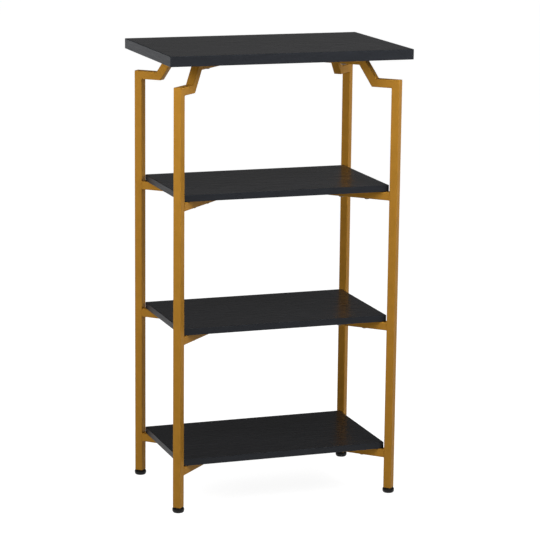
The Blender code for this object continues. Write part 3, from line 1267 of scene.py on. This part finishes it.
@dataclass
class PanScrew:
    """Pan head screw with a hexagon socket and a threaded shank, seen from below.

    Attributes:
        plan: The shared sizes.
        head_radius: Radius of the head.
        head_height: Height of the head.
        dome_steps: Lengths in the arc of the head's dome.
        dome_across: Radius of the dome's middle and its growth, as shares of the head's radius.
        dome_up: Height of the dome's foot and its rise, as shares of the head's height.
        rim: Width of the eased edge at the head's seat.
        socket_width: Width of the socket across its flats.
        socket_depth: Depth of the socket.
        socket_ease: Depth of the eased edge at the socket's mouth.
        socket_spread: How much wider the mouth is.
        dimple_share: Radius of the dimple in the socket's floor, as a share of its width.
        dimple_depth: Depth of that dimple.
        root_share: Radius at the thread's root, as a share of the shank's.
        bare: Plain length between the head and the thread.
        pitch: Rise of one turn of the thread.
        rows_per_turn: Rings in each turn.
        point: Length of the point.
        tip_share: Radius of the point's tip, as a share of the root's.
        turn_step: Turn of a corner's screws from one to the next, in radians.
        count: Points in each ring.
    """

    plan: Plan
    head_radius: float = 0.006
    head_height: float = 0.0024
    dome_steps: int = 7
    dome_across: Pair = (0.62, 0.38)
    dome_up: Pair = (0.28, 0.72)
    rim: float = 0.0001
    socket_width: float = 0.004
    socket_depth: float = 0.0014
    socket_ease: float = 0.0003
    socket_spread: float = 0.0004
    dimple_share: float = 0.18
    dimple_depth: float = 0.0003
    root_share: float = 0.76
    bare: float = 0.002
    pitch: float = 0.0013
    rows_per_turn: int = 6
    point: float = 0.003
    tip_share: float = 0.3
    turn_step: float = 0.7
    count: int = 36

    def hexagon(self, width: float, height: float) -> Ring:
        """Ring of points on a hexagon.

        Args:
            width: Width of the hexagon across its flats.
            height: Height of the ring.

        Returns:
            The ring.
        """
        ring = []
        for i in range(self.count):
            angle = TAU * i / self.count
            # Angle from the middle of the nearest flat.
            off = (angle + TAU / 12) % (TAU / 6) - TAU / 12
            ring.append(polar(width / 2 / math.cos(off), angle, height))
        return ring

    def dome(self) -> list[Pair]:
        """Profile of the head's dome.

        Returns:
            Its radii and heights, from the socket's mouth out.
        """
        middle, growth = self.dome_across
        foot, rise = self.dome_up
        profile = []
        for step in range(self.dome_steps + 1):
            angle = TAU / 4 * step / self.dome_steps
            across = middle + growth * math.sin(angle)
            profile.append((self.head_radius * across, -self.head_height * (foot + rise * math.cos(angle))))
        return profile

    def mesh(self) -> bpy.types.Mesh:
        """Mesh of the screw.

        Returns:
            The mesh, pointing up, with the seat of its head at z = 0.
        """
        face = -self.head_height
        floor = face + self.socket_depth
        length = self.plan.tube_side + 2 * self.plan.seat_gap + self.plan.screw_bite
        root = self.plan.screw_radius * self.root_share
        thread = Thread(root, self.plan.screw_radius, self.pitch, self.count, self.rows_per_turn)
        edge = [
            (self.head_radius, -self.rim),
            (self.head_radius - self.rim, 0.0),
            (root, 0.0),
        ]
        return loft("pan_screw", [
            circle(self.socket_width * self.dimple_share, floor + self.dimple_depth, self.count),
            self.hexagon(self.socket_width, floor),
            self.hexagon(self.socket_width, face + self.socket_ease),
            self.hexagon(self.socket_width + self.socket_spread, face),
            *turned_rings(self.dome() + edge, self.count),
            *thread.rings(self.bare, length - self.point),
            circle(root * self.tip_share, length, self.count),
        ])

    def build(self, metal: bpy.types.Material) -> None:
        """Builds and dresses every screw.

        Args:
            metal: Finish of the screws.
        """
        mesh = self.mesh()
        drop = 2 * self.plan.seat_gap + self.plan.tube_side
        for corner in Corner:
            guide = self.plan.guide(corner)
            places = [(f"top_screw_{corner.label}", self.plan.inner_screw, self.plan.top_underside)]
            for level in Level:
                underside = level.top - self.plan.shelf_thickness
                places.append((f"{level.label}_outer_screw_{corner.label}", self.plan.outer_screw, underside))
                places.append((f"{level.label}_inner_screw_{corner.label}", self.plan.inner_screw, underside))
            for number, (node, reach, underside) in enumerate(places):
                turn = Matrix.Rotation(self.turn_step * number + corner.side_x, 4, "Z")
                where = guide @ Matrix.Translation((reach, 0, underside - drop)) @ turn
                place_piece(node + "_turned", mesh, [metal], FRAME_BODY, [node], where)


@dataclass(frozen=True)
class FootStud:
    """Levelling stud with a rolled thread and a round head that the pad swivels on.

    Attributes:
        radius: Outer radius of the thread.
        top: Height of its upper end.
        head_radius: Radius of the head.
        head_low: Height of the head's lower face.
        head_height: Height of the head.
        ease: Width of the eased edges.
        root_share: Radius at the thread's root, as a share of the outer one.
        bare: Plain length between the head and the thread.
        pitch: Rise of one turn of the thread.
        rows_per_turn: Rings in each turn.
        tip: Plain length above the thread.
        tip_share: Radius of the upper end, as a share of the root's.
        count: Points in each ring.
    """

    radius: float = 0.004
    top: float = 0.0323
    head_radius: float = 0.008
    head_low: float = 0.0018
    head_height: float = 0.0032
    ease: float = 0.0004
    root_share: float = 0.84
    bare: float = 0.0012
    pitch: float = 0.00125
    rows_per_turn: int = 8
    tip: float = 0.0008
    tip_share: float = 0.9
    count: int = 64

    @property
    def head_top(self) -> float:
        """Height of the head's upper face."""
        return self.head_low + self.head_height

    def mesh(self) -> bpy.types.Mesh:
        """Mesh of the stud.

        Returns:
            The mesh, about Z.
        """
        root = self.radius * self.root_share
        profile = [
            (self.head_radius - self.ease, self.head_low),
            (self.head_radius, self.head_low + self.ease),
            (self.head_radius, self.head_top - self.ease),
            (self.head_radius - self.ease, self.head_top),
            (root + self.ease, self.head_top),
            (root, self.head_top + self.ease),
        ]
        thread = Thread(root, self.radius, self.pitch, self.count, self.rows_per_turn)
        return loft("foot_stud", [
            *turned_rings(profile, self.count),
            *thread.rings(self.head_top + self.bare, self.top - self.tip),
            circle(root * self.tip_share, self.top, self.count),
        ])


@dataclass(frozen=True)
class FootPad:
    """Moulded pad with a pocket below for the stud's head.

    Attributes:
        stud: The stud that it swivels on.
        radius: Widest radius.
        height: Height.
        clearance: Gap round the stud and its head.
        ease: Width of the eased edge of the pocket.
        bore_ease: Width of the eased edge of the bore.
        side_shares: Profile of the outside, as shares of the radius and the height.
        bore_shares: Upper and lower end of the bore's eased edge, as shares of the height.
        count: Points in each ring.
    """

    stud: FootStud
    radius: float = 0.0145
    height: float = 0.0102
    clearance: float = 0.0003
    ease: float = 0.0003
    bore_ease: float = 0.0004
    side_shares: tuple[Pair, ...] = (
        (0.800, 0.000), (0.845, 0.020), (0.885, 0.080), (0.930, 0.180), (0.968, 0.300),
        (0.990, 0.400), (1.000, 0.500), (1.000, 0.700), (0.994, 0.820), (0.976, 0.910),
        (0.945, 0.970), (0.905, 1.000), (0.560, 1.000), (0.520, 0.975),
    )
    bore_shares: Pair = (0.975, 0.93)
    count: int = 64

    def mesh(self) -> bpy.types.Mesh:
        """Mesh of the pad.

        Returns:
            The mesh, about Z.
        """
        bore = self.stud.radius + self.clearance
        pocket = self.stud.head_radius + self.clearance
        pocket_top = self.stud.head_top + self.clearance
        bore_top, bore_low = self.bore_shares
        profile = [(self.radius * across, self.height * up) for across, up in self.side_shares]
        profile += [
            (bore + self.bore_ease, self.height * bore_top),
            (bore, self.height * bore_low),
            (bore, pocket_top),
            (pocket, pocket_top),
            (pocket, self.ease),
            (pocket + self.ease, 0.0),
        ]
        return loft("foot_pad", turned_rings(profile, self.count), looped=True)


@dataclass(frozen=True)
class FootPlug:
    """Ribbed square plug in the tube's lower end, with a thin flange and a bore for the stud.

    Attributes:
        tube: The tube that it is in.
        stud: The stud that goes through it.
        low: Height of its lower face.
        gap: Gap between the ribs and the tube's wall.
        flange: Height of the flange.
        flange_inset: How much narrower than the tube the flange is.
        length: Length above the flange.
        ribs: Number of ribs.
        rib_rise: How much wider than the core the ribs are.
        rib_heights: Heights above a rib's root of its lower edge, its upper edge and the next root.
        tip_inset: How much narrower than the ribs the upper end is.
        low_radius: Radius of the corners at the flange's lower face.
        flange_radius: Radius of the flange's corners.
        core_radius: Radius of the core's and ribs' corners.
        clearance: Gap round the stud.
        ease: Width of the eased edges.
        steps: Lengths in each corner's arc.
    """

    tube: Tube
    stud: FootStud
    low: float
    gap: float
    flange: float = 0.0015
    flange_inset: float = 0.0004
    length: float = 0.024
    ribs: int = 3
    rib_rise: float = 0.002
    rib_heights: Triple = (0.0004, 0.0018, 0.0025)
    tip_inset: float = 0.001
    low_radius: float = 0.0015
    flange_radius: float = 0.0018
    core_radius: float = 0.0006
    clearance: float = 0.0003
    ease: float = 0.0003
    steps: int = 15

    def square(self, side: float, radius: float, height: float) -> Ring:
        """Level ring of rounded square section."""
        return level_ring(rounded_rectangle(side, side, radius, self.steps), height)

    def bore_ring(self, radius: float, height: float) -> Ring:
        """Level ring of the bore, with its points beside the square rings' points.

        Args:
            radius: Radius of the ring.
            height: Height of the ring.

        Returns:
            The ring.
        """
        count = 4 * (self.steps + 1)
        offset = -(self.steps / 2) / count
        return [polar(radius, TAU * (i / count + offset + 1 / 8), height) for i in range(count)]

    def mesh(self) -> bpy.types.Mesh:
        """Mesh of the plug.

        Returns:
            The mesh, about Z.
        """
        top = self.low + self.flange
        end = top + self.length
        wide = self.tube.side - self.flange_inset
        rib = self.tube.side - 2 * self.tube.wall - 2 * self.gap
        core = rib - self.rib_rise
        lower_edge, upper_edge, next_root = self.rib_heights
        rings = [
            self.square(wide - 2 * self.ease, self.low_radius, self.low),
            self.square(wide, self.flange_radius, self.low + self.ease),
            self.square(wide, self.flange_radius, top - self.ease / 2),
            self.square(wide - self.ease, self.flange_radius, top),
            self.square(core, self.core_radius, top),
        ]
        pitch = (self.length - next_root) / self.ribs
        for number in range(self.ribs):
            height = top + pitch * (number + 1)
            rings += [
                self.square(core, self.core_radius, height),
                self.square(rib, self.core_radius, height + lower_edge),
                self.square(rib, self.core_radius, height + upper_edge),
            ]
            if number < self.ribs - 1:
                rings.append(self.square(core, self.core_radius, height + next_root))
        bore = self.stud.radius + self.clearance
        rings += [
            self.square(rib - self.tip_inset, self.core_radius, end),
            self.bore_ring(bore, end),
            self.bore_ring(bore, self.low + self.ease),
            self.bore_ring(bore + self.ease, self.low),
        ]
        return loft("foot_plug", rings, looped=True)


@dataclass
class Foot:
    """A corner's levelling foot: plug in the tube, threaded stud and swivel pad.

    Attributes:
        plan: The shared sizes.
        corner: Corner that it stands at.
        tube: The tube that the plug is in.
    """

    plan: Plan
    corner: Corner
    tube: Tube

    def build(self, plastic: bpy.types.Material, metal: bpy.types.Material) -> None:
        """Builds and dresses the foot.

        Args:
            plastic: Finish of the plug and pad.
            metal: Finish of the stud.
        """
        guide = self.plan.guide(self.corner)
        label = self.corner.label
        stud = FootStud()
        pad = FootPad(stud)
        plug = FootPlug(self.tube, stud, low=pad.height + self.plan.seat_gap, gap=self.plan.seat_gap)
        for prefix, part, material, body, slot in (
            ("foot_plug_", plug, plastic, FRAME_BODY, "black_plastic"),
            ("foot_stud_", stud, metal, "stud_" + label, "plated_steel"),
            ("foot_pad_", pad, plastic, "pad_" + label, "black_plastic"),
        ):
            node = prefix + label
            mesh = part.mesh()
            mesh.transform(guide)
            place_piece(node + "_moulded", mesh, [material], body, [node])


@dataclass(frozen=True)
class SoftLamp:
    """A soft square lamp on a dome round the shelf.

    Attributes:
        name: Name of the lamp.
        azimuth: Its direction in plan in degrees, from the front towards the right.
        elevation: Its height above the horizon in degrees.
        power: Its power in watts.
        size: Side of its face.
        mirrored: Whether glossy faces mirror it.
        distance: Its distance from the point that it faces.
    """

    name: str
    azimuth: float
    elevation: float
    power: float
    size: float = 1.1
    mirrored: bool = True
    distance: float = 1.75

    def build(self, middle: Vector) -> None:
        """Hangs the lamp.

        Args:
            middle: Point that the lamp faces.
        """
        azimuth = math.radians(self.azimuth)
        elevation = math.radians(self.elevation)
        way = Vector((
            math.sin(azimuth) * math.cos(elevation),
            -math.cos(azimuth) * math.cos(elevation),
            math.sin(elevation),
        ))
        data = bpy.data.lights.new(self.name, "AREA")
        data.shape = "SQUARE"
        data.size = self.size
        data.energy = self.power
        lamp = bpy.data.objects.new(self.name, data)
        lamp.visible_glossy = self.mirrored
        bpy.context.scene.collection.objects.link(lamp)
        turn = way.to_track_quat("Z", "Y").to_matrix().to_4x4()
        lamp.matrix_world = Matrix.Translation(middle + way * self.distance) @ turn
        LOG.info("lamp %s", self.name)


@dataclass
class Studio:
    """Floor, light and camera.

    Attributes:
        target: Point that the camera looks at.
        distance: Distance from the camera to the target.
        yaw: Direction of view in plan, from +Y towards +X.
        pitch: Angle of the view below the horizon.
        roll: Turn of the camera about its view.
        focal_pixels: Focal length in pixels of the photograph.
        image_pixels: Width of the photograph.
        sensor: Width of the sensor in millimetres.
        middle: Point that the lamps face.
        wall: Brightness of the studio's walls at the floor and at their top.
        wall_top: Height of the walls, as the sine of its angle.
        floor_level: Height of the floor, where the feet stand when they are all the way out.
        floor_reach: Half the side of the floor.
        floor_colour: Share of light that the floor throws back.
        floor_roughness: Roughness of the floor.
        floor_near: Brightness that the camera sees in the floor's shadow.
        shadow_fade: Distances from the middle where that brightness starts to rise and is full.
        floor_glow: Brightness of the floor away from the shelf, as its light.
        glow_fade: Distances from the middle where that light begins and is full.
    """

    target: Vector = field(default_factory=lambda: Vector((0.001542, -0.031752, 0.5475)))
    distance: float = 5.697667
    yaw: float = math.radians(19.2658)
    pitch: float = math.radians(12.0222)
    roll: float = math.radians(0.6042)
    focal_pixels: float = 2345.52
    image_pixels: float = 540.0
    sensor: float = 36.0
    middle: Vector = field(default_factory=lambda: Vector((0.0, 0.0, 0.95)))
    wall: Pair = (0.26, 0.01)
    wall_top: float = 0.31
    floor_level: float = -0.0102
    floor_reach: float = 300.0
    floor_colour: float = 0.30
    floor_roughness: float = 0.9
    floor_near: float = 0.93
    shadow_fade: Pair = (0.8, 3.0)
    floor_glow: float = 0.19
    glow_fade: Pair = (1.2, 2.4)

    def camera(self) -> None:
        """Places the camera as in the photograph."""
        forward = Vector((
            math.sin(self.yaw) * math.cos(self.pitch),
            math.cos(self.yaw) * math.cos(self.pitch),
            -math.sin(self.pitch),
        ))
        level = Vector((math.cos(self.yaw), -math.sin(self.yaw), 0.0))
        above = level.cross(forward)
        right = level * math.cos(self.roll) + above * math.sin(self.roll)
        up = above * math.cos(self.roll) - level * math.sin(self.roll)
        data = bpy.data.cameras.new("camera")
        data.sensor_width = self.sensor
        data.lens = self.sensor * self.focal_pixels / self.image_pixels
        camera = bpy.data.objects.new("camera", data)
        bpy.context.scene.collection.objects.link(camera)
        turn = Matrix((right, up, -forward)).transposed()
        camera.matrix_world = Matrix.Translation(self.target - forward * self.distance) @ turn.to_4x4()
        bpy.context.scene.camera = camera

    def lamps(self) -> None:
        """Hangs the soft lamps."""
        # From the sides the black boards would turn white with the image of the low and strong ones.
        for lamp in (
            SoftLamp("front_high", azimuth=-10, elevation=58, power=14.0),
            SoftLamp("left_key", azimuth=-60, elevation=32, power=8.5, size=1.6),
            SoftLamp("left_low", azimuth=-72, elevation=10, power=13.5, mirrored=False),
            SoftLamp("right_key", azimuth=32, elevation=32, power=9.0, size=1.6),
            SoftLamp("right_fill", azimuth=34, elevation=30, power=17.5, mirrored=False),
            SoftLamp("back_left", azimuth=-150, elevation=24, power=10.0, mirrored=False),
            SoftLamp("back_right", azimuth=125, elevation=24, power=8.0, mirrored=False),
        ):
            lamp.build(self.middle)

    def world(self) -> None:
        """Surrounds the shelf with a dim studio, darker towards the ceiling."""
        world = bpy.data.worlds.new("studio")
        world.use_nodes = True
        graph = Graph(world.node_tree)
        ground = world.node_tree.nodes["Background"]
        way = graph.add("ShaderNodeSeparateXYZ")
        graph.feed(way.inputs[0], graph.add("ShaderNodeTexCoord").outputs["Generated"])
        graph.feed(ground.inputs["Strength"], graph.span(way.outputs["Z"], (0.0, self.wall_top), self.wall))
        ground.inputs["Color"].default_value = WHITE
        bpy.context.scene.world = world

    def floor(self) -> None:
        """Lays the pale floor, which keeps a faint shadow and is white away from the shelf."""
        mesh = bpy.data.meshes.new("floor")
        sides = ((-1, -1), (1, -1), (1, 1), (-1, 1))
        corners = [(x * self.floor_reach, y * self.floor_reach, self.floor_level) for x, y in sides]
        mesh.from_pydata(corners, [], [(0, 1, 2, 3)])
        floor = bpy.data.objects.new("floor", mesh)
        bpy.context.scene.collection.objects.link(floor)
        material, graph, shader = new_material("floor")
        grey = self.floor_colour
        shader.inputs["Base Color"].default_value = (grey, grey, grey, 1.0)
        shader.inputs["Roughness"].default_value = self.floor_roughness
        shader.inputs["Specular IOR Level"].default_value = 0.0
        shader.inputs["Emission Color"].default_value = WHITE
        ray = graph.add("ShaderNodeLightPath")
        away = graph.add("ShaderNodeVectorMath", operation="LENGTH")
        graph.feed(away.inputs[0], graph.place())
        seen = graph.span(away.outputs["Value"], self.shadow_fade, (self.floor_near, 1.0))
        lit = graph.span(away.outputs["Value"], self.glow_fade, (0.0, self.floor_glow))
        # These rays see the white floor, and all others only the light that it gives the shelf.
        rays = graph.math("MAXIMUM", ray.outputs["Is Camera Ray"], ray.outputs["Is Glossy Ray"])
        rays = graph.math("MAXIMUM", rays, ray.outputs["Is Transmission Ray"])
        pale = graph.math("MULTIPLY", rays, graph.math("SUBTRACT", seen, lit))
        graph.feed(shader.inputs["Emission Strength"], graph.math("ADD", pale, lit))
        mesh.materials.append(material)

    def build(self) -> None:
        """Sets up the whole studio."""
        self.camera()
        self.lamps()
        self.world()
        self.floor()
        bpy.context.scene.view_settings.view_transform = "Standard"


@dataclass
class BoardSet:
    """The top panel and the three shelves.

    Attributes:
        plan: The shared sizes.
        top_wood: Part of the wood that the top panel shows.
        first_wood: Part of the wood that the upper shelf shows.
        wood_step: Way through the wood from one shelf to the next.
    """

    plan: Plan
    top_wood: Triple = (0.31, 0.04, 0.0)
    first_wood: float = 2.0
    wood_step: Pair = (1.7, 0.37)

    def top_panel(self) -> Board:
        """The top panel.

        Returns:
            The board.
        """
        plan = self.plan
        return Board(
            plan,
            "top_panel",
            length=plan.top_length,
            depth=plan.top_depth,
            thickness=plan.top_thickness,
            top=plan.height,
            reaches=(plan.inner_screw,),
            shift=self.top_wood,
        )

    def shelf(self, number: int, level: Level) -> Board:
        """A shelf, as large as its CAD node.

        Args:
            number: Its number, from 0 at the upper one.
            level: Its level.

        Returns:
            The board.
        """
        node = level.label + "_shelf"
        low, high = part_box(node)
        step_x, step_y = self.wood_step
        return Board(
            self.plan,
            node,
            length=high.x - low.x,
            depth=high.y - low.y,
            thickness=self.plan.shelf_thickness,
            top=level.top,
            reaches=(self.plan.outer_screw, self.plan.inner_screw),
            shift=(step_x * number + self.first_wood, step_y * number, 0.0),
        )

    def build(self) -> None:
        """Builds and dresses every board."""
        shelves = [self.shelf(number, level) for number, level in enumerate(Level)]
        for board in (self.top_panel(), *shelves):
            board.build()


def main() -> None:
    """Builds and dresses the shelf, then sets up the studio."""
    plan = Plan()
    tube = Tube()
    gold = GoldPaint().material("gold_paint_satin")
    steel = PlatedSteel().material("plated_steel_turned")
    plating = DarkPlating().material("dark_plating_turned")
    plastic = BlackPlastic().material("black_plastic_moulded")
    BoardSet(plan).build()
    for corner in Corner:
        Leg(plan, corner, tube).build(gold)
        for level in Level:
            ShelfArm(plan, corner, level, tube).build(gold)
        Foot(plan, corner, tube).build(plastic, steel)
    PanScrew(plan).build(plating)
    Studio().build()


if __name__ == "__main__":
    main()
